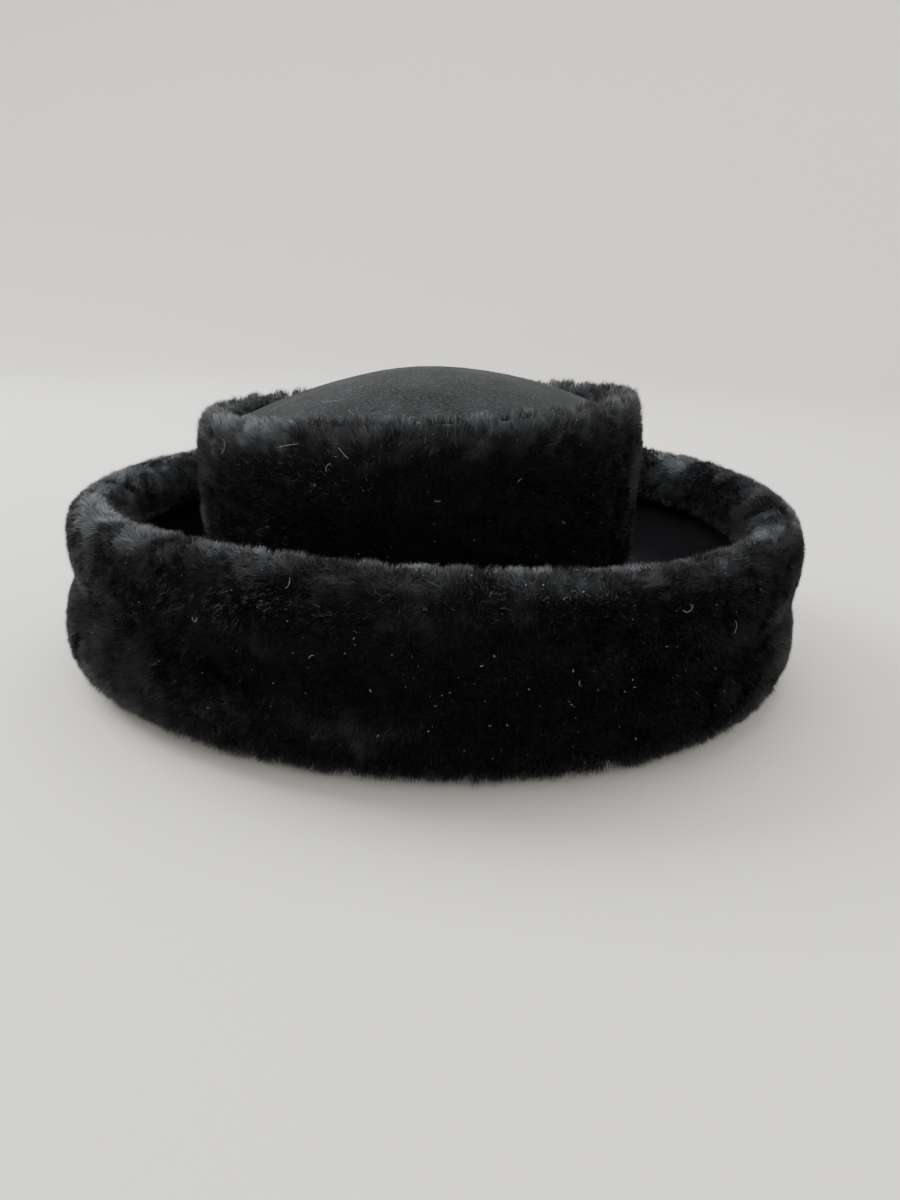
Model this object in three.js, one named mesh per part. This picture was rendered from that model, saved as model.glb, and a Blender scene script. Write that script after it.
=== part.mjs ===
import * as THREE from 'three';

// Upturned-brim fur hat, in millimetres, +Z up, standing on its brim with the front toward -Y.
// A fur band stands round the head and a domed felt tip closes it. The brim is fur outside,
// turned up and rolled over its edge, and lined with velour down in the trough round the crown.

// Head opening, crown and tip
const HEAD_WIDTH = 180;
const HEAD_DEPTH = 192;
const CROWN_HEIGHT = 116;
const CROWN_SHIFT = 8.3;
const CROWN_LEAN_SIDE = 0.0616;
const CROWN_LEAN_BACK = -0.0313;
const BAND_WALL = 10.5;
const BAND_LIP = 3.5;
const TIP_WALL = 2;
const TIP_RISE = 17.6;
const TIP_BOW = 1.25;
const TIP_BELOW_PILE = 3.9;

// Brim
const BRIM_WIDTH = 332;
const BRIM_DEPTH = 324;
const BRIM_HEIGHT = 78;
const BRIM_FLOOR = 10;
const ROLL_WALL = 26.6;
const FACING_WALL = 7.6;
const FACING_DEPTH = 25;
const FACING_FOLD = 2;
const LINING_WALL = 2;
const LINING_TUCK = 12;
const TROUGH_BEND = 15;

// Where the head's oval plan starts to change to the brim's, as a share of the band's wall
const PLAN_FROM = 1.4;

// Heights of the extra rings on the band's inner wall and its lip, as shares of their rise
const WALL_RING = 0.45;
const LIP_RING = 0.6;

// Clearance between sewn pieces, and the unevenness of brushed pile
const GAP = 0.3;
const RUFFLE = 1.3;
const TUFT = 0.8;

// Facets round the head
const TURNS = 72;

// How far the turned-up edge departs from a level oval, every 30 degrees from +X.
// reach and belly are shares of the brim's mean radius, all the way up or low on the outside
// only, and rise is a share of the height at each point.
const EDGE = [
  { reach: -0.003, belly: 0.006, rise: 0.016 },
  { reach: -0.007, belly: 0.000, rise: 0.030 },
  { reach: 0.004, belly: 0.000, rise: 0.011 },
  { reach: 0.005, belly: 0.000, rise: -0.005 },
  { reach: -0.006, belly: 0.000, rise: -0.007 },
  { reach: -0.004, belly: 0.010, rise: -0.017 },
  { reach: 0.007, belly: 0.013, rise: -0.027 },
  { reach: 0.001, belly: 0.024, rise: -0.009 },
  { reach: -0.015, belly: 0.014, rise: 0.021 },
  { reach: -0.010, belly: 0.002, rise: 0.016 },
  { reach: 0.012, belly: 0.000, rise: -0.015 },
  { reach: 0.015, belly: 0.001, rise: -0.016 },
];

// Outer face of the fur band. out is a share of the band's wall, up of the crown's height,
// and soft says how much of the pile's unevenness shows.
const BAND_FACE = [
  { out: 1.36, up: 0.185, soft: 0.3 },
  { out: 1.34, up: 0.285, soft: 0.6 },
  { out: 1.20, up: 0.365, soft: 0.8 },
  { out: 1.06, up: 0.440, soft: 0.8 },
  { out: 1.00, up: 0.510, soft: 0.8 },
  { out: 1.00, up: 0.600, soft: 1.0 },
  { out: 1.03, up: 0.700, soft: 1.0 },
  { out: 1.12, up: 0.790, soft: 1.0 },
  { out: 1.11, up: 0.870, soft: 1.0 },
  { out: 0.96, up: 0.945, soft: 0.8 },
  { out: 0.70, up: 0.990, soft: 0.5 },
  { out: 0.26, up: 1.000, soft: 0.3 },
];

// Underside of the brim. across is a share of the way from the head opening to the brim's
// outside, up of the brim's floor.
const UNDERSIDE = [
  { across: 0.000, up: 0.62 },
  { across: 0.050, up: 0.20 },
  { across: 0.190, up: 0.00 },
  { across: 0.680, up: 0.00 },
];

// Outside of the turned-up brim and over its roll. in is a share of the roll's wall, up of the
// brim's height, and belly how much of EDGE's low bulge shows.
const OUTSIDE = [
  { in: 0.55, up: 0.020, soft: 0.0, belly: 0.2 },
  { in: 0.26, up: 0.065, soft: 0.2, belly: 0.5 },
  { in: 0.09, up: 0.145, soft: 0.6, belly: 0.8 },
  { in: 0.04, up: 0.235, soft: 1.0, belly: 1.0 },
  { in: 0.03, up: 0.325, soft: 1.0, belly: 1.0 },
  { in: 0.06, up: 0.415, soft: 1.0, belly: 0.8 },
  { in: 0.12, up: 0.495, soft: 0.8, belly: 0.5 },
  { in: 0.13, up: 0.555, soft: 0.8, belly: 0.2 },
  { in: 0.06, up: 0.625, soft: 1.0, belly: 0.0 },
  { in: 0.00, up: 0.715, soft: 1.0, belly: 0.0 },
  { in: 0.02, up: 0.830, soft: 1.0, belly: 0.0 },
  { in: 0.15, up: 0.940, soft: 0.8, belly: 0.0 },
  { in: 0.36, up: 0.995, soft: 0.6, belly: 0.0 },
  { in: 0.56, up: 0.995, soft: 0.6, belly: 0.0 },
  { in: 0.76, up: 0.950, soft: 0.6, belly: 0.0 },
  { in: 0.93, up: 0.865, soft: 0.5, belly: 0.0 },
  { in: 1.00, up: 0.765, soft: 0.3, belly: 0.0 },
];

// Rings of the domed tip, as shares of the radius of its free face.
const TIP_RINGS = [0.25, 0.5, 0.73, 0.91];

const headMean = (HEAD_WIDTH + HEAD_DEPTH) / 4;
const brimMean = (BRIM_WIDTH + BRIM_DEPTH) / 4;
const bandFoot = BRIM_FLOOR + LINING_WALL + 2 * GAP;
const troughInner = headMean + BAND_WALL * PLAN_FROM;
const facingRadius = brimMean - ROLL_WALL;
const facingEdge = BRIM_HEIGHT - FACING_DEPTH;
const liningRadius = facingRadius + FACING_WALL + GAP + LINING_WALL / 2;
const liningFloor = BRIM_FLOOR + GAP + LINING_WALL / 2;
const leanFrom = BAND_FACE[2].up * CROWN_HEIGHT;

function mix(a, b, t) {
  return a + (b - a) * t;
}

function smooth(t) {
  const s = THREE.MathUtils.clamp(t, 0, 1);
  return s * s * (3 - 2 * s);
}

// A closed smooth curve through one column of EDGE.
function edgeAt(angle, column) {
  const count = EDGE.length;
  const turn = ((angle / (2 * Math.PI)) % 1 + 1) % 1 * count;
  const i = Math.floor(turn);
  const t = turn - i;
  const at = (k) => EDGE[(i + k + count) % count][column];
  const slopeIn = (at(1) - at(-1)) / 2;
  const slopeOut = (at(2) - at(0)) / 2;
  const t2 = t * t;
  const t3 = t2 * t;
  return (2 * t3 - 3 * t2 + 1) * at(0) + (t3 - 2 * t2 + t) * slopeIn
    + (3 * t2 - 2 * t3) * at(1) + (t3 - t2) * slopeOut;
}

// Takes a point of the section, given by its mean radius and height, to its place in the hat.
// The plan goes from the head's oval to the brim's, and the upper crown leans to the left front.
function place(radius, height, angle) {
  const t = smooth((radius - troughInner) / (facingRadius - troughInner));
  const wide = mix(HEAD_WIDTH / 2 - headMean, BRIM_WIDTH / 2 - brimMean, t);
  const deep = mix(HEAD_DEPTH / 2 - headMean, BRIM_DEPTH / 2 - brimMean, t);
  const reach = brimMean * edgeAt(angle, 'reach') * t;
  const inX = Math.cos(angle) * (radius + wide + reach);
  const inY = Math.sin(angle) * (radius + deep + reach);
  const lean = THREE.MathUtils.clamp((height - leanFrom) / (CROWN_HEIGHT - leanFrom), 0, 1);
  const slope = CROWN_LEAN_SIDE * inX + CROWN_LEAN_BACK * inY;
  return new THREE.Vector3(
    inX - CROWN_SHIFT * (1 - t),
    inY,
    height * (1 + edgeAt(angle, 'rise') * t) + lean * slope * (1 - t),
  );
}

// Wandering values from -1 to 1 over the pile, by turn and share of the crown's height.
function ruffle(angle, share) {
  return 0.5 * Math.sin(5 * angle + 14 * share)
    + 0.3 * Math.sin(11 * angle - 20 * share + 1.3)
    + 0.2 * Math.sin(17 * angle + 32 * share + 4.0);
}

// A closed body from points and triangles, turned so that its faces point out.
function body(points, faces) {
  let volume = 0;
  for (const [a, b, c] of faces) {
    volume += points[a].dot(points[b].clone().cross(points[c]));
  }
  const index = faces.flatMap(([a, b, c]) => (volume > 0 ? [a, b, c] : [a, c, b]));
  const geometry = new THREE.BufferGeometry();
  const position = points.flatMap((p) => [p.x, p.y, p.z]);
  geometry.setAttribute('position', new THREE.Float32BufferAttribute(position, 3));
  geometry.setIndex(index);
  geometry.computeVertexNormals();
  return geometry;
}

// A ring whose closed section is carried once round the head.
function ringOf(section) {
  const rows = section.length;
  const points = [];
  const faces = [];
  for (let i = 0; i < TURNS; i += 1) {
    const angle = (2 * Math.PI * i) / TURNS;
    section.forEach((row) => {
      const belly = brimMean * (row.belly ?? 0) * edgeAt(angle, 'belly');
      const push = RUFFLE * (row.soft ?? 0) * ruffle(angle, row.z / CROWN_HEIGHT) + belly;
      const tuft = TUFT * (row.tuft ?? 0) * (i % 2 ? 1 : -1);
      points.push(place(row.r + push, row.z + tuft, angle));
    });
  }
  for (let i = 0; i < TURNS; i += 1) {
    const next = ((i + 1) % TURNS) * rows;
    for (let j = 0; j < rows; j += 1) {
      const k = (j + 1) % rows;
      faces.push([i * rows + j, next + j, next + k]);
      faces.push([i * rows + j, next + k, i * rows + k]);
    }
  }
  return body(points, faces);
}

// The velour's middle line: along the trough's floor, round the bend and up behind the facing,
// moved out by a distance on the brim's side or in on the trough's.
function liningLine(away) {
  const bend = TROUGH_BEND + away;
  const centreR = liningRadius - TROUGH_BEND;
  const centreZ = liningFloor + TROUGH_BEND;
  const line = [
    { r: headMean, z: liningFloor - away },
    { r: mix(headMean, centreR, 0.5), z: liningFloor - away },
  ];
  for (let k = 0; k <= 4; k += 1) {
    const turn = (Math.PI / 8) * k;
    line.push({ r: centreR + bend * Math.sin(turn), z: centreZ - bend * Math.cos(turn) });
  }
  return line;
}

// Top of the tip at a mean radius. The dome falls TIP_BOW times its rise to the free face's edge.
function tipTop(radius) {
  const free = headMean - BAND_LIP;
  const bow = TIP_RISE * (1 - TIP_BOW * (radius / free) ** 2);
  return CROWN_HEIGHT - TIP_BELOW_PILE + bow;
}

function tipGeometry() {
  const free = headMean - BAND_LIP;
  const radii = [...TIP_RINGS.map((share) => share * free), free, headMean - GAP];
  const rings = radii.length;
  const points = [];
  const faces = [];
  for (const drop of [0, TIP_WALL]) {
    points.push(place(0, tipTop(0) - drop, 0));
    for (let i = 0; i < TURNS; i += 1) {
      const angle = (2 * Math.PI * i) / TURNS;
      radii.forEach((r) => points.push(place(r, tipTop(r) - drop, angle)));
    }
  }
  const under = 1 + TURNS * rings;
  for (let i = 0; i < TURNS; i += 1) {
    const a = 1 + i * rings;
    const b = 1 + ((i + 1) % TURNS) * rings;
    faces.push([0, a, b], [under, under + b, under + a]);
    for (let j = 0; j < rings - 1; j += 1) {
      faces.push([a + j, a + j + 1, b + j + 1], [a + j, b + j + 1, b + j]);
      faces.push([under + a + j, under + b + j + 1, under + a + j + 1]);
      faces.push([under + a + j, under + b + j, under + b + j + 1]);
    }
    const end = rings - 1;
    faces.push([a + end, under + a + end, under + b + end], [a + end, under + b + end, b + end]);
  }
  return body(points, faces);
}

// Fur band: from the brim's floor up, its pile standing proud of the tip and leaning in over
// its edge.
function bandGeometry() {
  const lip = headMean - BAND_LIP;
  const lipFoot = tipTop(lip) + GAP;
  const section = [
    { r: headMean, z: bandFoot },
    { r: headMean + BAND_WALL * BAND_FACE[0].out, z: bandFoot },
    ...BAND_FACE.map((row) => ({
      r: headMean + BAND_WALL * row.out,
      z: CROWN_HEIGHT * row.up,
      soft: row.soft,
      tuft: row.up > 0.98 ? 1 : 0,
    })),
    { r: lip, z: mix(lipFoot, CROWN_HEIGHT, LIP_RING) },
    { r: lip, z: lipFoot },
    { r: headMean, z: tipTop(headMean) + GAP },
    { r: headMean, z: mix(bandFoot, CROWN_HEIGHT, WALL_RING) },
  ];
  return ringOf(section);
}

// Velour lining of the trough.
function liningGeometry() {
  const half = LINING_WALL / 2;
  const top = facingEdge + LINING_TUCK;
  const outer = liningLine(half);
  const inner = liningLine(-half);
  const section = [
    ...outer,
    { r: liningRadius + half, z: mix(liningFloor + TROUGH_BEND, facingEdge, 0.5) },
    { r: liningRadius + half, z: top },
    { r: liningRadius - half, z: top },
    { r: liningRadius - half, z: facingEdge },
    { r: liningRadius - half, z: mix(liningFloor + TROUGH_BEND, facingEdge, 0.5) },
    ...inner.reverse(),
  ];
  return ringOf(section);
}

// Fur cover of the brim: under it, up its outside, over the roll and down the inside as a
// facing, with a slot behind the facing for the lining's edge.
function cuffGeometry() {
  const reach = LINING_WALL / 2 + GAP;
  const slotTop = facingEdge + LINING_TUCK + GAP;
  const bed = liningLine(reach);
  const section = [
    ...UNDERSIDE.map((row) => ({
      r: mix(headMean, brimMean, row.across),
      z: BRIM_FLOOR * row.up,
    })),
    ...OUTSIDE.map((row) => ({
      r: brimMean - ROLL_WALL * row.in,
      z: BRIM_HEIGHT * row.up,
      soft: row.soft,
      belly: row.belly,
    })),
    { r: facingRadius, z: facingEdge + FACING_FOLD },
    { r: facingRadius + 0.75 * FACING_FOLD, z: facingEdge },
    { r: liningRadius - reach, z: facingEdge },
    { r: liningRadius - reach, z: slotTop },
    { r: liningRadius + reach, z: slotTop },
    { r: liningRadius + reach, z: mix(liningFloor + TROUGH_BEND, facingEdge, 0.5) },
    ...bed.reverse(),
  ];
  return ringOf(section);
}

function cloth(name, geometry, colour, roughness) {
  const material = new THREE.MeshStandardMaterial({ color: colour, roughness, metalness: 0 });
  const mesh = new THREE.Mesh(geometry, material);
  mesh.name = name;
  return mesh;
}

const hat = new THREE.Group();
hat.add(cloth('brim_cuff', cuffGeometry(), 0x141415, 0.95));
hat.add(cloth('brim_lining', liningGeometry(), 0x0c0c0e, 0.9));
hat.add(cloth('crown_band', bandGeometry(), 0x161617, 0.95));
hat.add(cloth('crown_tip', tipGeometry(), 0x525554, 0.95));

// The origin is under the middle of the whole hat.
const bounds = new THREE.Box3().setFromObject(hat);
hat.position.x = -(bounds.min.x + bounds.max.x) / 2;
hat.position.y = -(bounds.min.y + bounds.max.y) / 2;
hat.position.z = -bounds.min.z;

export default hat;
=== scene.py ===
import math
import bpy
import numpy as np
from mathutils import Matrix, Vector
from mathutils.bvhtree import BVHTree


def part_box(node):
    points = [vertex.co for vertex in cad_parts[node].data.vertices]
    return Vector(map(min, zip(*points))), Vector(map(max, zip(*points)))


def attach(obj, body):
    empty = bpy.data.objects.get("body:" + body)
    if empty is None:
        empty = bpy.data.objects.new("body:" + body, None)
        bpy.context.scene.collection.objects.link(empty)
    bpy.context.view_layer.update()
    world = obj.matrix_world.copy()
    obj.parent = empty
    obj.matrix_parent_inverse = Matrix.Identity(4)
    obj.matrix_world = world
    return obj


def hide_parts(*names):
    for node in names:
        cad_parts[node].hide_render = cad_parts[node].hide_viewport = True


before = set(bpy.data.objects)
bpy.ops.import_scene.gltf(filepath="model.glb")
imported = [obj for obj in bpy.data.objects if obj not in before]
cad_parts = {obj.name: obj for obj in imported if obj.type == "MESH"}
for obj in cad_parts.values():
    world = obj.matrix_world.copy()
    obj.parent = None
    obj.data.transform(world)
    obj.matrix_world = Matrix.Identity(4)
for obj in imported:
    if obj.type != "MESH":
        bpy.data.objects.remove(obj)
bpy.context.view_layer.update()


# Camera
# A phone held a little above the hat and half an arm's length in front of it, tipped down
# by 19 degrees and turned by a degree or so. The lens is a wide one.

CAMERA_AT = (0.00135, -0.42685, 0.1635)
CAMERA_PITCH = 0.3326
CAMERA_YAW = 0.0177
CAMERA_ROLL = 0.0275
FOCAL_PIXELS = 902.0
PHOTO_HEIGHT = 1200

ahead = Vector((math.sin(CAMERA_YAW) * math.cos(CAMERA_PITCH),
                math.cos(CAMERA_YAW) * math.cos(CAMERA_PITCH),
                -math.sin(CAMERA_PITCH)))
right = Vector((math.cos(CAMERA_YAW), -math.sin(CAMERA_YAW), 0.0))
above = right.cross(ahead)
camera_x = math.cos(CAMERA_ROLL) * right + math.sin(CAMERA_ROLL) * above
camera_y = math.cos(CAMERA_ROLL) * above - math.sin(CAMERA_ROLL) * right
camera_data = bpy.data.cameras.new("camera")
camera_data.sensor_width = 36.0
camera_data.lens = 36.0 * FOCAL_PIXELS / PHOTO_HEIGHT
camera_data.clip_start = 0.01
camera = bpy.data.objects.new("camera", camera_data)
camera.matrix_world = Matrix((
    (camera_x.x, camera_y.x, -ahead.x, CAMERA_AT[0]),
    (camera_x.y, camera_y.y, -ahead.y, CAMERA_AT[1]),
    (camera_x.z, camera_y.z, -ahead.z, CAMERA_AT[2]),
    (0.0, 0.0, 0.0, 1.0),
))
bpy.context.collection.objects.link(camera)
bpy.context.scene.camera = camera


# Floor and light
# A plain pale floor that curves up into a pale wall all round, like a light tent. A broad soft
# light hangs high behind the hat's left shoulder, so the tops of the pile catch it and the
# front stays in shade.

FLOOR_RADIUS = 1.5
WALL_BEND = 0.5
WALL_HEIGHT = 1.4
FLOOR_PAINT = "#F0EEEA"
ROOM_LIGHT = "#F4F4F2"
ROOM_STRENGTH = 0.5
LIT_HEIGHT = 0.06


def colour(code):
    """An sRGB hex value as linear RGBA."""
    parts = [int(code[i:i + 2], 16) / 255 for i in (1, 3, 5)]
    linear = [c / 12.92 if c <= 0.04045 else ((c + 0.055) / 1.055) ** 2.4 for c in parts]
    return (*linear, 1.0)


def add_node(tree, kind, values=(), links=(), **settings):
    """Adds one shader node, sets its inputs from values and joins other nodes to it."""
    new = tree.nodes.new(kind)
    for name, value in settings.items():
        setattr(new, name, value)
    for socket, value in dict(values).items():
        new.inputs[socket].default_value = value
    for socket, source in dict(links).items():
        tree.links.new(source, new.inputs[socket])
    return new


def finish_of(name, values=(), links=None):
    """A new material with its one Principled shader set up. links takes the node tree."""
    made = bpy.data.materials.new(name)
    made.use_nodes = True
    shader = made.node_tree.nodes["Principled BSDF"]
    for socket, value in dict(values).items():
        shader.inputs[socket].default_value = value
    if links:
        for socket, source in links(made.node_tree).items():
            made.node_tree.links.new(source, shader.inputs[socket])
    return made


bpy.ops.object.select_all(action="DESELECT")
bpy.ops.mesh.primitive_circle_add(vertices=96, radius=FLOOR_RADIUS, fill_type="NGON")
floor = bpy.context.object
floor.name = "floor"
bpy.ops.object.mode_set(mode="EDIT")
bpy.ops.mesh.select_mode(type="EDGE")
bpy.ops.mesh.select_all(action="DESELECT")
bpy.ops.mesh.select_non_manifold()
radius, height = FLOOR_RADIUS, 0.0
BEND_STEPS = 10
for step in range(1, BEND_STEPS + 2):
    turn = math.pi / 2 * min(step, BEND_STEPS) / BEND_STEPS
    next_radius = FLOOR_RADIUS + WALL_BEND * math.sin(turn)
    next_height = WALL_BEND * (1 - math.cos(turn)) + (WALL_HEIGHT if step > BEND_STEPS else 0)
    grow = next_radius / radius
    bpy.ops.mesh.extrude_edges_move(
        TRANSFORM_OT_translate={"value": (0, 0, next_height - height)})
    bpy.ops.transform.resize(value=(grow, grow, 1), center_override=(0, 0, 0))
    radius, height = next_radius, next_height
bpy.ops.object.mode_set(mode="OBJECT")
bpy.ops.object.shade_smooth_by_angle(angle=math.radians(30))
floor.data.materials.append(finish_of(
    "matt_floor_paint", {"Base Color": colour(FLOOR_PAINT), "Roughness": 0.9}))

room = bpy.data.worlds.new("room")
room.use_nodes = True
room.node_tree.nodes["Background"].inputs["Color"].default_value = colour(ROOM_LIGHT)
room.node_tree.nodes["Background"].inputs["Strength"].default_value = ROOM_STRENGTH
bpy.context.scene.world = room

for name, place, size, power in (
    ("window_behind_left", (-1.1, 0.55, 1.2), 1.0, 26.0),
    ("ceiling", (0.1, 0.6, 1.7), 1.6, 23.0),
    ("front_fill", (0.3, -1.3, 0.9), 1.0, 3.0),
):
    lamp = bpy.data.lights.new(name, "AREA")
    lamp.shape = "DISK"
    lamp.size = size
    lamp.energy = power
    holder = bpy.data.objects.new(name, lamp)
    holder.location = place
    holder.rotation_mode = "QUATERNION"
    aim = Vector((0, 0, LIT_HEIGHT)) - Vector(place)
    holder.rotation_quaternion = aim.to_track_quat("-Z", "Y")
    bpy.context.collection.objects.link(holder)


# Brim cuff: backing
# The fur fabric's woven backing over the padded brim, turned up, rolled over the edge and
# brought down inside as a facing. It lies a pile's depth under the outer form, in the shade of
# the pile that stands on it, and its colour is the pile's tone darkened as painted shade.

PILE_DEPTH = 0.0020
ROOM_FOR_PILE = 0.003
FLOOR_SKIN = 0.0002
WELD = 0.00002
PILE_BLACK = "#050509"
# The grey that the pile's colour reaches where painted sheen is laid into it.
PILE_PAINTED_SHEEN_GREY = "#82878C"
# The backing's share of the pile's tone: painted shade under the pile.
UNDER_PILE_PAINTED_SHADE = 0.45


def smooth_copy(name, source, levels):
    """A merged copy of a CAD node's mesh with smooth faces and finer facets."""
    copy = bpy.data.objects.new(name, source.data.copy())
    bpy.context.collection.objects.link(copy)
    bpy.ops.object.select_all(action="DESELECT")
    copy.select_set(True)
    bpy.context.view_layer.objects.active = copy
    bpy.ops.object.mode_set(mode="EDIT")
    bpy.ops.mesh.select_all(action="SELECT")
    bpy.ops.mesh.remove_doubles(threshold=WELD)
    bpy.ops.mesh.tris_convert_to_quads(face_threshold=0.7, shape_threshold=0.7)
    bpy.ops.object.mode_set(mode="OBJECT")
    bpy.ops.object.shade_smooth()
    if levels:
        finer = copy.modifiers.new("finer", "SUBSURF")
        finer.levels = levels
        finer.render_levels = levels
        bpy.ops.object.modifier_apply(modifier="finer")
    copy.data.materials.clear()
    return copy


def drift(points, span, seed, waves=14):
    """Smooth wandering values, about -2 to 2, that change over a distance of span metres."""
    rng = np.random.default_rng(seed)
    heading = rng.normal(size=(waves, 3))
    heading /= np.linalg.norm(heading, axis=1)[:, None]
    pace = 2 * math.pi / (span * rng.uniform(0.7, 1.6, waves))
    phase = rng.uniform(0, 2 * math.pi, waves)
    total = np.zeros(len(points))
    for k in range(waves):
        total += np.sin(points @ heading[k] * pace[k] + phase[k])
    return total / math.sqrt(waves / 2)


def open_faces(mesh, others):
    """Which triangles of a mesh have free space in front of them."""
    free = []
    for poly in mesh.polygons:
        start = Vector(poly.center) + 0.0001 * poly.normal
        free.append(all(o.ray_cast(start, poly.normal, ROOM_FOR_PILE)[0] is None
                        for o in others))
    return np.array(free)


def mesh_arrays(mesh):
    """Corner positions, vertex normals and areas of a mesh's triangles."""
    mesh.calc_loop_triangles()
    count = len(mesh.vertices)
    place = np.empty(count * 3)
    mesh.vertices.foreach_get("co", place)
    normal = np.empty(count * 3)
    mesh.vertices.foreach_get("normal", normal)
    corner = np.empty(len(mesh.loop_triangles) * 3, dtype=np.int64)
    mesh.loop_triangles.foreach_get("vertices", corner)
    owner = np.empty(len(mesh.loop_triangles), dtype=np.int64)
    mesh.loop_triangles.foreach_get("polygon_index", owner)
    place = place.reshape(-1, 3)
    corner = corner.reshape(-1, 3)
    a, b, c = (place[corner[:, k]] for k in range(3))
    area = np.linalg.norm(np.cross(b - a, c - a), axis=1) / 2
    return place, normal.reshape(-1, 3), corner, area, owner


node_trees = {
    name: BVHTree.FromPolygons(
        [v.co.copy() for v in ob.data.vertices], [tuple(p.vertices) for p in ob.data.polygons])
    for name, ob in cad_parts.items()
}


def fur_ground(name, source, hidden):
    """The backing under a fur solid, and the faces of the solid that carry pile. The backing
    lies at the solid's own surface where no pile stands on it."""
    skin = smooth_copy(name, source, 0)
    others = [node_trees[n] for n in node_trees if n != source.name]
    free = open_faces(skin.data, others)
    for poly in skin.data.polygons:
        if hidden(poly.center, poly.normal):
            free[poly.index] = False
    place, normal, corner, area, owner = mesh_arrays(skin.data)
    pile = free[owner]
    furry = np.zeros(len(place))
    touched = np.zeros(len(place))
    np.add.at(furry, corner.ravel(), np.repeat(pile, 3).astype(float))
    np.add.at(touched, corner.ravel(), 1.0)
    sunk = place - normal * (PILE_DEPTH * (furry / touched > 0.99))[:, None]
    sunk[:, 2] = np.maximum(sunk[:, 2], np.where(place[:, 2] < FLOOR_SKIN, 0.0, sunk[:, 2]))
    skin.data.vertices.foreach_set("co", sunk.ravel())
    skin.data.update()
    finer = skin.modifiers.new("finer", "SUBSURF")
    finer.levels = 1
    finer.render_levels = 1
    bpy.ops.object.modifier_apply(modifier="finer")
    ground = (place[corner[pile]], normal[corner[pile]], area[pile])
    return skin, ground


def tone_links(tree):
    """Black to grey by the tone each mesh carries point by point: random tufts, with painted sheen
    and painted shade laid in.
    """
    tone = add_node(tree, "ShaderNodeAttribute", attribute_name="pile_tone_and_painted_light")
    shade = add_node(tree, "ShaderNodeMix", {6: colour(PILE_BLACK), 7: colour(PILE_PAINTED_SHEEN_GREY)},
                     {"Factor": tone.outputs["Fac"]}, data_type="RGBA")
    return {"Base Color": shade.outputs[2]}


def backing_links(tree):
    """The pile's tone on a fine grain, about a millimetre across."""
    where = add_node(tree, "ShaderNodeTexCoord")
    grain = add_node(tree, "ShaderNodeTexNoise", {"Scale": 1100.0, "Detail": 3.0},
                     {"Vector": where.outputs["Object"]})
    rise = add_node(tree, "ShaderNodeBump", {"Strength": 0.7, "Distance": 0.0006},
                    {"Height": grain.outputs["Fac"]})
    return {**tone_links(tree), "Normal": rise.outputs["Normal"]}


backing = finish_of("black_pile_backing", {
    "Roughness": 0.95, "Specular IOR Level": 0.1,
    "Sheen Weight": 0.12, "Sheen Roughness": 0.22}, backing_links)


def cuff_hidden(centre, normal):
    """Nothing on the cuff is left bare but the faces that another piece covers."""
    return False


cuff_skin, cuff_ground = fur_ground("brim_cuff_backing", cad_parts["brim_cuff"],
                                    cuff_hidden)
cuff_skin.data.materials.append(backing)
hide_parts("brim_cuff")
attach(cuff_skin, "root")


# Brim cuff: pile
# Black plush fur sheared to three or four millimetres. Seen end on it is nearly black. Its colour
# is painted grey as painted sheen where it breaks over the roll, where a hand has brushed it over
# and on the facing. Fibres are drawn as coarse as they need to show, a quarter of a millimetre,
# in small locks.

FIBRES_IN_LOCK = 22
LOCK_SPREAD = 0.0013
FIBRE_WIDTH = 0.00027
PILE_LENGTH = 0.0031
HEM_FRINGE = 0.0014
CUFF_RADIUS = 0.163
FLAT_UNDER = 0.003
HEM_HEIGHT = 0.007

# Places where the pile is brushed over: turn from +X in degrees, then in metres the height and
# the reach along the brim and up it, and how strongly. Those toward -Y are where the photograph
# shows them, and the rest carry them on round the hat.
# Each patch lays the pile flatter, and its colour is painted lighter there as painted sheen.
BRUSHED = (
    (203, 0.0770, 0.040, 0.0130, 1.20),
    (207, 0.0720, 0.062, 0.0200, 0.85),
    (229, 0.0755, 0.010, 0.0060, 0.80),
    (246, 0.0760, 0.013, 0.0070, 0.95),
    (269, 0.0750, 0.009, 0.0065, 0.85),
    (281, 0.0745, 0.009, 0.0080, 0.60),
    (288, 0.0755, 0.009, 0.0070, 0.90),
    (296, 0.0770, 0.009, 0.0050, 0.70),
    (312, 0.0760, 0.016, 0.0080, 0.55),
    (327, 0.0750, 0.018, 0.0110, 0.65),
    (345, 0.0750, 0.026, 0.0100, 0.60),
    (258, 0.0710, 0.009, 0.0050, 0.55),
    (268, 0.0630, 0.011, 0.0055, 0.60),
    (227, 0.0455, 0.004, 0.0070, 0.50),
    (248, 0.0500, 0.005, 0.0060, 0.35),
    (228, 0.0260, 0.013, 0.0110, 0.60),
    (217, 0.0300, 0.012, 0.0170, 0.50),
    (243, 0.0210, 0.014, 0.0075, 0.50),
    (260, 0.0225, 0.016, 0.0055, 0.60),
    (313, 0.0240, 0.012, 0.0080, 0.35),
    (324, 0.0450, 0.009, 0.0120, 0.45),
    (341, 0.0300, 0.016, 0.0150, 0.40),
    (190, 0.0300, 0.020, 0.0150, 0.45),
    (8, 0.0500, 0.018, 0.0110, 0.50),
    (30, 0.0760, 0.034, 0.0110, 0.75),
    (47, 0.0280, 0.018, 0.0120, 0.50),
    (72, 0.0560, 0.012, 0.0080, 0.45),
    (80, 0.0770, 0.030, 0.0080, 0.70),
    (101, 0.0300, 0.020, 0.0120, 0.50),
    (125, 0.0760, 0.030, 0.0090, 0.75),
    (138, 0.0400, 0.016, 0.0100, 0.45),
    (160, 0.0240, 0.020, 0.0110, 0.50),
    (168, 0.0770, 0.060, 0.0150, 1.05),
)


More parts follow.
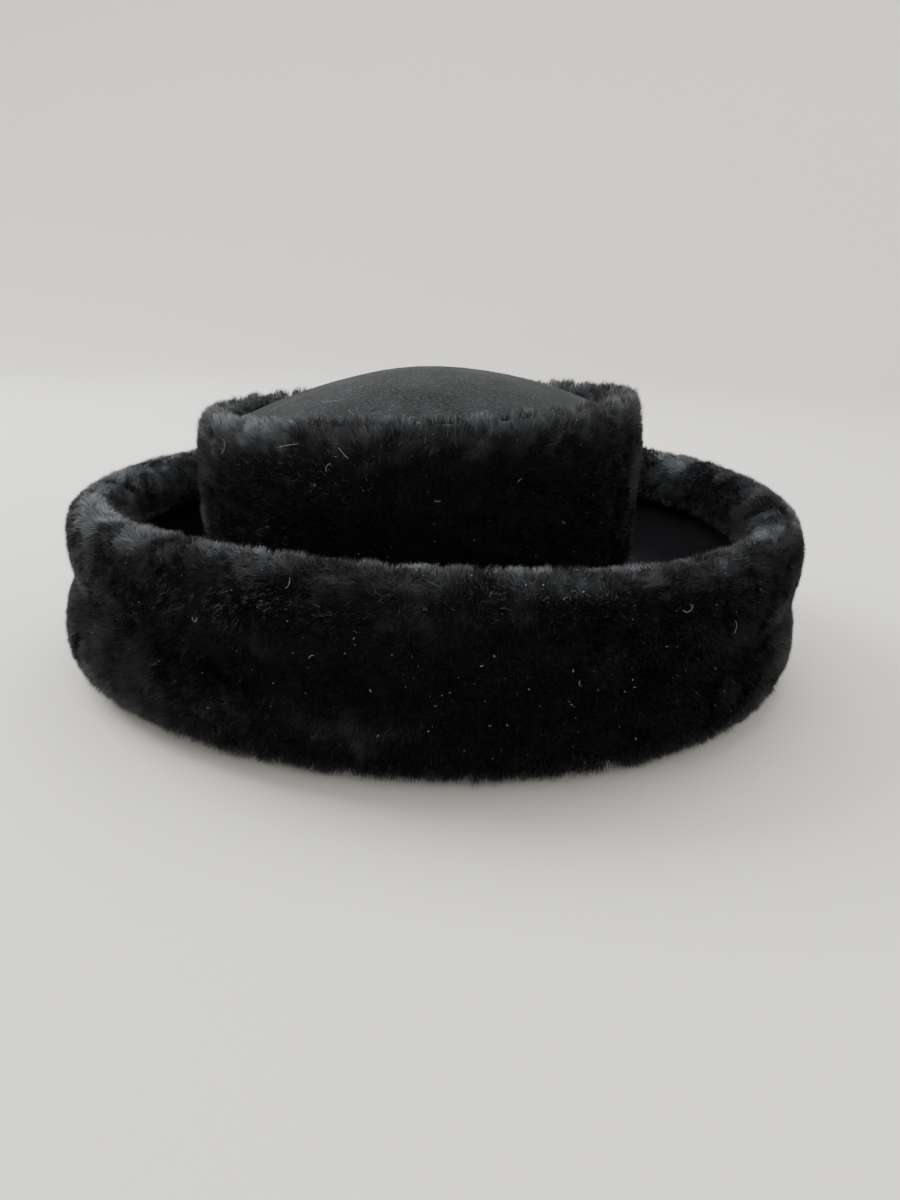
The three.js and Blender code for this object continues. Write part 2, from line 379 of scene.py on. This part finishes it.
def lock_places(ground, count, weight, rng):
    """Random places on the ground for locks, with the surface's normal at each."""
    corners, normals, area = ground
    share = area * weight(corners.mean(axis=1))
    pick = rng.choice(len(area), size=count, p=share / share.sum())
    u = rng.random((count, 2))
    flip = u.sum(axis=1) > 1
    u[flip] = 1 - u[flip]
    w = np.stack([1 - u.sum(axis=1), u[:, 0], u[:, 1]], axis=1)[:, :, None]
    place = (corners[pick] * w).sum(axis=1)
    normal = (normals[pick] * w).sum(axis=1)
    return place, normal / np.linalg.norm(normal, axis=1)[:, None]


def unit(vectors):
    """The same directions, each one long."""
    return vectors / np.maximum(np.linalg.norm(vectors, axis=1), 1e-12)[:, None]


def across(normal):
    """Two directions along the surface at each normal."""
    aid = np.where(np.abs(normal[:, 2:]) < 0.9, [[0.0, 0.0, 1.0]], [[1.0, 0.0, 0.0]])
    first = unit(np.cross(normal, aid))
    return first, np.cross(normal, first)


def pile_mesh(name, place, normal, lean, length, gather, tone, material, rng):
    """Locks of fibres, each fibre one slim blade, as a joined mesh with soft normals. gather is
    how far a lock's tips come together."""
    locks = len(place)
    side, rise = across(normal)
    n = locks * FIBRES_IN_LOCK
    take = np.repeat(np.arange(locks), FIBRES_IN_LOCK)
    spread = rng.normal(size=(n, 2)) * LOCK_SPREAD
    root = (place[take] - normal[take] * PILE_DEPTH
            + side[take] * spread[:, :1] + rise[take] * spread[:, 1:])
    stray = rng.normal(size=(n, 3)) * 0.22
    heading = unit(lean[take] + stray)
    reach = length[take] * rng.uniform(0.72, 1.08, n)
    inward = -(side[take] * spread[:, :1] + rise[take] * spread[:, 1:])
    tip = root + heading * reach[:, None] + gather[take][:, None] * inward
    tip[:, 2] = np.maximum(tip[:, 2], FLOOR_SKIN)
    root[:, 2] = np.maximum(root[:, 2], FLOOR_SKIN)
    outward = normal[take] + 0.5 * rng.normal(size=(n, 3))
    edge = unit(np.cross(heading, outward)) * (FIBRE_WIDTH / 2)
    points = np.stack([root - edge, root + edge, tip], axis=1).reshape(-1, 3)
    mesh = bpy.data.meshes.new(name)
    mesh.vertices.add(3 * n)
    mesh.vertices.foreach_set("co", points.astype(np.float32).ravel())
    mesh.loops.add(3 * n)
    mesh.loops.foreach_set("vertex_index", np.arange(3 * n, dtype=np.int32))
    mesh.polygons.add(n)
    mesh.polygons.foreach_set("loop_start", np.arange(0, 3 * n, 3, dtype=np.int32))
    mesh.polygons.foreach_set("use_smooth", np.ones(n, dtype=bool))
    mesh.update(calc_edges=True)
    shine = mesh.attributes.new("pile_tone_and_painted_light", "FLOAT", "POINT")
    fibre_tone = np.clip(tone[take] * rng.uniform(0.75, 1.25, n), 0, 1)
    # Roots get a quarter of the fibre's tone: painted shade deep in the pile.
    shine.data.foreach_set("value", np.stack(
        [fibre_tone * 0.25, fibre_tone * 0.25, fibre_tone], axis=1).astype(np.float32).ravel())
    soft = unit(0.85 * normal[take] + 0.2 * heading + rng.normal(size=(n, 3)) * 0.07)
    mesh.normals_split_custom_set_from_vertices(np.repeat(soft, 3, axis=0).tolist())
    mesh.materials.append(material)
    piece = bpy.data.objects.new(name, mesh)
    bpy.context.collection.objects.link(piece)
    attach(piece, "root")
    return piece


def tone_skin(skin, values):
    """Gives a backing the tone of the pile that stands on it, darkened as painted shade under the
    pile.
    """
    under = skin.data.attributes.new("pile_tone_and_painted_light", "FLOAT", "POINT")
    under.data.foreach_set("value", (values * UNDER_PILE_PAINTED_SHADE).astype(np.float32))


def points_of(skin):
    """Place and normal of every point of a mesh."""
    count = len(skin.data.vertices)
    place = np.empty(count * 3)
    skin.data.vertices.foreach_get("co", place)
    normal = np.empty(count * 3)
    skin.data.vertices.foreach_get("normal", normal)
    return place.reshape(-1, 3), normal.reshape(-1, 3)


def brushed(place):
    """How far the cuff's pile is brushed over, from 0 up, with ragged soft edges."""
    comb = np.clip(0.30 * drift(place, 0.040, 9) - 0.28, 0, 0.12)
    ragged = 0.30 * drift(place, 0.010, 13) + 0.22 * drift(place, 0.0045, 15)
    turn = np.arctan2(place[:, 1], place[:, 0])
    for at, height, breadth, tall, strength in BRUSHED:
        along = (turn - math.radians(at) + math.pi) % (2 * math.pi) - math.pi
        away = np.hypot(along * CUFF_RADIUS / breadth, (place[:, 2] - height) / tall)
        comb = np.maximum(comb, strength * np.clip(1.35 - away + ragged, 0, 1))
    return comb


def crest(normal):
    """How far a surface faces up, from 0 on the walls to 1 on the roll's top."""
    top = np.clip((normal[:, 2] - 0.35) / 0.6, 0, 1)
    return top * top * (3 - 2 * top)


def facing_in(place, normal):
    """How far a surface looks toward the crown, from 0 to 1."""
    flat_place = place * [1.0, 1.0, 0.0]
    return np.clip(-(unit(flat_place) * normal).sum(axis=1), 0, 1)


def cuff_tone_and_painted_light(place, normal):
    """How light the cuff's pile is, as painted light: painted sheen on the roll's top, in brushed
    patches and on the facing, over random tufts.
    """
    tuft = drift(place, 0.008, 11) + 0.7 * drift(place, 0.0035, 12)
    up = crest(normal)
    # Painted light: lighter where the surface faces up, much lighter in brushed patches and lighter
    # on the facing; only the tufts are the pile's own tone.
    tone = 0.012 + 0.14 * up + 0.46 * brushed(place) * (0.34 + 0.66 * up)
    tone = tone + 0.15 * facing_in(place, normal)
    return np.clip(tone * np.clip(1 + 0.26 * tuft, 0.25, 2.0), 0, 1)


pile = finish_of("black_plush_pile", {
    "Roughness": 0.75, "Specular IOR Level": 0.12,
    "Sheen Weight": 0.15, "Sheen Roughness": 0.22}, tone_links)
tone_skin(cuff_skin, cuff_tone_and_painted_light(*points_of(cuff_skin)))

CUFF_LOCKS = 7000
for quarter in range(4):
    rng = np.random.default_rng(100 + quarter)

    def weight(centres, quarter=quarter):
        turn = np.floor(np.arctan2(centres[:, 1], centres[:, 0]) / (math.pi / 2)) % 4
        flat = centres[:, 2] < FLAT_UNDER
        return (turn == quarter) * np.where(flat, 0.25, 1.0)

    place, normal = lock_places(cuff_ground, CUFF_LOCKS, weight, rng)
    side = across(normal)[0]
    swirl = 0.9 * drift(place, 0.035, 7) + 0.6 * drift(place, 0.012, 8)
    down = np.array([[0.0, 0.0, -1.0]]) + normal * normal[:, 2:]
    down = unit(down + 0.05 * side)
    grain = np.cos(swirl)[:, None] * down + np.sin(swirl)[:, None] * side
    flat = place[:, 2] < FLAT_UNDER
    lay = 0.50 + 0.12 * drift(place, 0.02, 10) + 0.5 * brushed(place) + 0.1 * crest(normal)
    lay = np.where(flat, 3.0, np.clip(lay, 0.05, 1.2))
    lean = unit(normal + lay[:, None] * grain)
    hem = np.exp(-(((place[:, 2] - HEM_HEIGHT) / HEM_HEIGHT) ** 2)) * (1 - flat)
    length = PILE_LENGTH * (1 + 0.08 * drift(place, 0.012, 14)) * np.sqrt(1 + 0.5 * lay ** 2)
    length = length + HEM_FRINGE * hem
    gather = 0.20 + 0.15 * crest(normal) + 0.50 * hem
    pile_mesh(f"brim_pile_{quarter + 1}", place, normal, lean, length, gather,
              cuff_tone_and_painted_light(place, normal), pile, rng)


# Brim lining
# Smooth black velour along the trough's floor and up behind the facing. Its nap is short and
# even, so it is the blackest and plainest part of the hat.

LINING_BLACK = "#202025"


def lining_links(tree):
    """A faint nap that keeps the velour from looking like plastic."""
    where = add_node(tree, "ShaderNodeTexCoord")
    nap = add_node(tree, "ShaderNodeTexNoise", {"Scale": 1400.0, "Detail": 2.0},
                   {"Vector": where.outputs["Object"]})
    rise = add_node(tree, "ShaderNodeBump", {"Strength": 0.25, "Distance": 0.0003},
                    {"Height": nap.outputs["Fac"]})
    return {"Normal": rise.outputs["Normal"]}


lining = smooth_copy("brim_lining_cloth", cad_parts["brim_lining"], 1)
lining.data.materials.append(finish_of("black_velour", {
    "Base Color": colour(LINING_BLACK), "Roughness": 0.9, "Specular IOR Level": 0.15,
    "Sheen Weight": 0.12, "Sheen Roughness": 0.35}, lining_links))
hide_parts("brim_lining")
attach(lining, "root")


# Crown band
# A band of the same fur round the side of the crown, sewn into a ring at the left front. Its
# pile lies evenly up the side. It breaks over in a short brush round the top, lying flat up to
# the seam and standing just past it; the brush's colour is painted light up to the seam and dark
# just past it, painted sheen and painted shade.

BAND_LOCKS = 4400
BRUSH_FROM = 0.1035
BRUSH_RISE = 0.006
CROWN_LEAN = (0.0616, -0.0313)
RIM_FRINGE = 0.0012
BARE_BELOW = 0.098
SEAM_TURN = math.radians(243.4)
crown_low, crown_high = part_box("crown_band")
crown_middle = np.array([(crown_low[0] + crown_high[0]) / 2, (crown_low[1] + crown_high[1]) / 2])


def band_hidden(centre, normal):
    """The foot of the band and its inner wall under the tip, which carry no pile."""
    outward = Vector((centre[0] - crown_middle[0], centre[1] - crown_middle[1], 0)).normalized()
    looks_in = normal.dot(outward) < -0.4
    return (looks_in and centre[2] < BARE_BELOW) or (normal.z < -0.8)


band_skin, band_ground = fur_ground("crown_band_backing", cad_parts["crown_band"],
                                    band_hidden)
band_skin.data.materials.append(backing)


def band_turn(place):
    """Turn past the seam, from 0 to a whole turn, toward the front and right."""
    turn = np.arctan2(place[:, 1] - crown_middle[1], place[:, 0] - crown_middle[0])
    return (turn - SEAM_TURN) % (2 * math.pi)


def band_brush(place):
    """How far up the brush round the top a place is, from 0 to 1."""
    lift = CROWN_LEAN[0] * place[:, 0] + CROWN_LEAN[1] * place[:, 1]
    ragged = 0.0022 * drift(place, 0.012, 24) + 0.0015 * drift(place, 0.005, 25)
    return np.clip((place[:, 2] - lift - BRUSH_FROM + ragged) / BRUSH_RISE, 0, 1)


def band_tone_and_painted_light(place, normal):
    """How light the band's pile is, as painted light: dark on the side, and painted sheen in the
    brush, most where it faces up, but for painted shade just past the seam; with random tufts."""
    past = band_turn(place)
    before = 2 * math.pi - past
    # Painted sheen in the brush and painted shade just past the seam, lighter still where the brush
    # faces up.
    light = 0.38 - 0.33 * np.exp(-((past / 0.36) ** 2)) + 0.12 * np.exp(-((before / 0.9) ** 2))
    light = light + 0.09 * drift(place, 0.02, 21)
    tuft = drift(place, 0.008, 22) + 0.7 * drift(place, 0.0035, 23)
    tone = 0.026 + np.clip(light, 0.03, 0.8) * band_brush(place) * (0.6 + 0.6 * crest(normal))
    return np.clip(tone * np.clip(1 + 0.27 * tuft, 0.25, 2.0), 0, 1)


tone_skin(band_skin, band_tone_and_painted_light(*points_of(band_skin)))
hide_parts("crown_band")
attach(band_skin, "root")

for half in range(2):
    rng = np.random.default_rng(200 + half)

    def weight(centres, half=half):
        return ((centres[:, 1] > crown_middle[1]) == (half == 1)) * 1.0

    place, normal = lock_places(band_ground, BAND_LOCKS, weight, rng)
    side = across(normal)[0]
    swirl = 0.5 * drift(place, 0.03, 17) + 0.4 * drift(place, 0.012, 18)
    up = unit(np.array([[0.0, 0.0, 1.0]]) - normal * normal[:, 2:])
    grain = np.cos(swirl)[:, None] * up + np.sin(swirl)[:, None] * side
    brush = band_brush(place)
    past = band_turn(place)
    flat = np.exp(-(((2 * math.pi - past) / 0.8) ** 2))
    lay = np.clip(0.5 + 0.12 * drift(place, 0.03, 19), 0.05, 1.2)
    stand = 0.7 * brush * (1 - flat)
    along = np.stack([np.sin(past + SEAM_TURN), -np.cos(past + SEAM_TURN), 0 * past], axis=1)
    lean = unit(normal + lay[:, None] * grain + stand[:, None] * np.array([[0.0, 0.0, 1.0]])
                + (1.3 * brush * flat)[:, None] * along)
    length = PILE_LENGTH * (1 + 0.08 * drift(place, 0.012, 20))
    length = length + RIM_FRINGE * brush * (1 + 0.4 * drift(place, 0.006, 26))
    pile_mesh(f"crown_pile_{half + 1}", place, normal, lean, length, 0.30 + 0.45 * brush,
              band_tone_and_painted_light(place, normal), pile, rng)


# Crown tip
# A domed disc of grey-black wool felt, seated inside the top of the band. The nap is matt and
# mottled, with paler fibres through it.

FELT_DARK = "#0A0C0D"
FELT_LIGHT = "#323639"
FELT_HAIR = "#767D7B"


def felt_links(tree):
    """Soft clouds and a fine grain between the felt's two shades."""
    where = add_node(tree, "ShaderNodeTexCoord")
    cloud = add_node(tree, "ShaderNodeTexNoise", {"Scale": 45.0, "Detail": 6.0},
                     {"Vector": where.outputs["Object"]})
    fine = add_node(tree, "ShaderNodeTexNoise", {"Scale": 700.0, "Detail": 4.0},
                    {"Vector": where.outputs["Object"]})
    blend = add_node(tree, "ShaderNodeMix", {"Factor": 0.5},
                     {2: cloud.outputs["Fac"], 3: fine.outputs["Fac"]}, data_type="FLOAT")
    spread = add_node(tree, "ShaderNodeMapRange", {1: 0.36, 2: 0.64},
                      {"Value": blend.outputs[0]})
    shade = add_node(tree, "ShaderNodeMix", {6: colour(FELT_DARK), 7: colour(FELT_LIGHT)},
                     {"Factor": spread.outputs["Result"]}, data_type="RGBA")
    rise = add_node(tree, "ShaderNodeBump", {"Strength": 0.8, "Distance": 0.0006},
                    {"Height": fine.outputs["Fac"]})
    return {"Base Color": shade.outputs[2], "Normal": rise.outputs["Normal"]}


felt = finish_of("grey_black_wool_felt", {
    "Roughness": 0.95, "Specular IOR Level": 0.12, "Sheen Weight": 0.05,
    "Sheen Roughness": 0.5}, felt_links)
tip = smooth_copy("crown_tip_felt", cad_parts["crown_tip"], 1)
tip.data.materials.append(felt)
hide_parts("crown_tip")
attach(tip, "root")


def ribbons(name, lines, facing, width, material):
    """Fine hairs as flat ribbons along lines of points, each turned to face one way."""
    count, steps = lines.shape[:2]
    along = lines[:, 1:] - lines[:, :-1]
    along = np.concatenate([along, along[:, -1:]], axis=1)
    aside = np.cross(along, facing[:, None, :])
    aside /= np.maximum(np.linalg.norm(aside, axis=2, keepdims=True), 1e-12)
    aside *= np.reshape(width, (-1, 1, 1)) / 2
    points = np.stack([lines - aside, lines + aside], axis=2).reshape(-1, 3)
    first = (np.arange(count)[:, None] * steps + np.arange(steps - 1)[None, :]).reshape(-1) * 2
    corners = np.stack([first, first + 1, first + 3, first + 2], axis=1)
    mesh = bpy.data.meshes.new(name)
    mesh.from_pydata(points.tolist(), [], corners.tolist())
    mesh.materials.append(material)
    piece = bpy.data.objects.new(name, mesh)
    bpy.context.collection.objects.link(piece)
    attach(piece, "root")
    return piece


def hair_lines(place, normal, turn, length, bend, lift, steps):
    """Short bent lines that lie on a surface, from its places and normals. turn is the way that
    each sets out along the surface, and bend how far it curves."""
    side, rise = across(normal)
    lines = []
    at = place + normal * lift
    for k in range(steps):
        lines.append(at)
        heading = np.cos(turn)[:, None] * side + np.sin(turn)[:, None] * rise
        at = at + heading * (length / (steps - 1))[:, None]
        turn = turn + bend / (steps - 1)
    return np.stack(lines, axis=1)


HAIRS = 5200
rng = np.random.default_rng(300)
tip_place, tip_normal, tip_corner, tip_area = mesh_arrays(tip.data)[:4]
upward = tip_normal[tip_corner].mean(axis=1)[:, 2] > 0.5
tip_ground = (tip_place[tip_corner[upward]], tip_normal[tip_corner[upward]], tip_area[upward])
place, normal = lock_places(tip_ground, HAIRS, lambda centres: np.ones(len(centres)), rng)
hairs = hair_lines(place, normal, rng.uniform(0, 2 * math.pi, HAIRS),
                   0.0003 + rng.exponential(0.0004, HAIRS),
                   rng.normal(size=HAIRS) * 1.2, 0.00015, 3)
ribbons("crown_tip_hairs", hairs, normal, rng.uniform(0.00004, 0.00014, HAIRS),
        finish_of("pale_wool_hairs", {"Base Color": colour(FELT_HAIR), "Roughness": 0.8,
                                      "Specular IOR Level": 0.2}))


# Lint
# Pale lint that plush picks up in wear: fine specks all over the pile, and a few curled threads
# caught on its tips.

LINT_GREY = "#8C9092"
LINT_LIFT = 0.0012
TIP_LIFT = 0.0004
THREAD_STEPS = 8
CUFF_OUTSIDE = 0.250
BAND_OUTSIDE = 0.118
THREAD_WIDTH = 0.00015
CUFF_SPECKS = 1100
BAND_SPECKS = 420

# Curled threads on the cuff and on the crown band: turn from +X in degrees, height and length in
# metres, and how far each curls, in radians. Those on the tip have their place in metres, the
# turn in which each sets out, and then length and curl.
CUFF_THREADS = (
    (240.7, 0.0570, 0.0042, 4.6),
    (253.0, 0.0710, 0.0040, 1.4),
    (256.5, 0.0500, 0.0026, 1.8),
    (300.0, 0.0640, 0.0060, 2.2),
    (309.0, 0.0560, 0.0050, -1.6),
    (288.0, 0.0420, 0.0024, 2.0),
    (318.0, 0.0500, 0.0030, 1.0),
    (20.0, 0.0600, 0.0040, 2.4),
    (140.0, 0.0450, 0.0045, -2.0),
)
BAND_THREADS = (
    (222.4, 0.1009, 0.0062, 2.4),
    (252.1, 0.1086, 0.0056, 0.3),
    (250.8, 0.1029, 0.0040, 2.0),
    (243.5, 0.1086, 0.0080, 0.1),
    (287.3, 0.0987, 0.0022, 1.5),
    (271.3, 0.0916, 0.0024, -1.5),
    (298.3, 0.0807, 0.0024, 1.2),
    (40.0, 0.0900, 0.0045, 2.4),
)
TIP_THREADS = (
    (-0.0468, -0.0497, 216.9, 0.0115, 1.2),
    (-0.0566, -0.0562, 240.0, 0.0048, 2.6),
    (-0.0690, -0.0330, 200.0, 0.0042, -2.4),
    (0.0310, 0.0180, 80.0, 0.0060, 2.0),
)


def caught(tree, origin, heading):
    """Where a straight line meets a solid, and how the solid faces there."""
    hit, facing = tree.ray_cast(Vector(origin), Vector(heading))[:2]
    return np.array([*hit, *facing])


def level_hits(tree, start, threads):
    """The places on a solid at each thread's turn and height, seen from a radius outside it."""
    found = []
    for row in threads:
        out_x, out_y = math.cos(math.radians(row[0])), math.sin(math.radians(row[0]))
        found.append(caught(tree, (start * out_x, start * out_y, row[1]), (-out_x, -out_y, 0)))
    return np.array(found)


lint = finish_of("grey_cotton_lint", {"Base Color": colour(LINT_GREY), "Roughness": 0.9,
                                      "Specular IOR Level": 0.1})
rng = np.random.default_rng(400)
for name, tree, start, threads in (
    ("brim_threads", node_trees["brim_cuff"], CUFF_OUTSIDE, CUFF_THREADS),
    ("crown_threads", node_trees["crown_band"], BAND_OUTSIDE, BAND_THREADS),
):
    hits = level_hits(tree, start, threads)
    length, bend = np.array(threads)[:, 2], np.array(threads)[:, 3]
    lines = hair_lines(hits[:, :3], hits[:, 3:], rng.uniform(0, 2 * math.pi, len(threads)),
                       length, bend, LINT_LIFT, THREAD_STEPS)
    ribbons(name, lines, hits[:, 3:], THREAD_WIDTH, lint)
hits = np.array([caught(node_trees["crown_tip"], (row[0], row[1], 0.2), (0, 0, -1))
                 for row in TIP_THREADS])
sizes = np.array(TIP_THREADS)[:, 2:]
lines = hair_lines(hits[:, :3], hits[:, 3:], np.radians(sizes[:, 0]), sizes[:, 1], sizes[:, 2],
                   TIP_LIFT, THREAD_STEPS)
ribbons("crown_tip_threads", lines, hits[:, 3:], THREAD_WIDTH, lint)
for name, ground, specks in (("brim_lint", cuff_ground, CUFF_SPECKS),
                             ("crown_lint", band_ground, BAND_SPECKS)):
    place, normal = lock_places(ground, specks, lambda centres: centres[:, 2] > 0.006, rng)
    lines = hair_lines(place, normal, rng.uniform(0, 2 * math.pi, specks),
                       0.00018 + rng.exponential(0.00022, specks), rng.normal(size=specks),
                       LINT_LIFT, 2)
    ribbons(name, lines, normal, rng.uniform(0.00015, 0.0003, specks), lint)
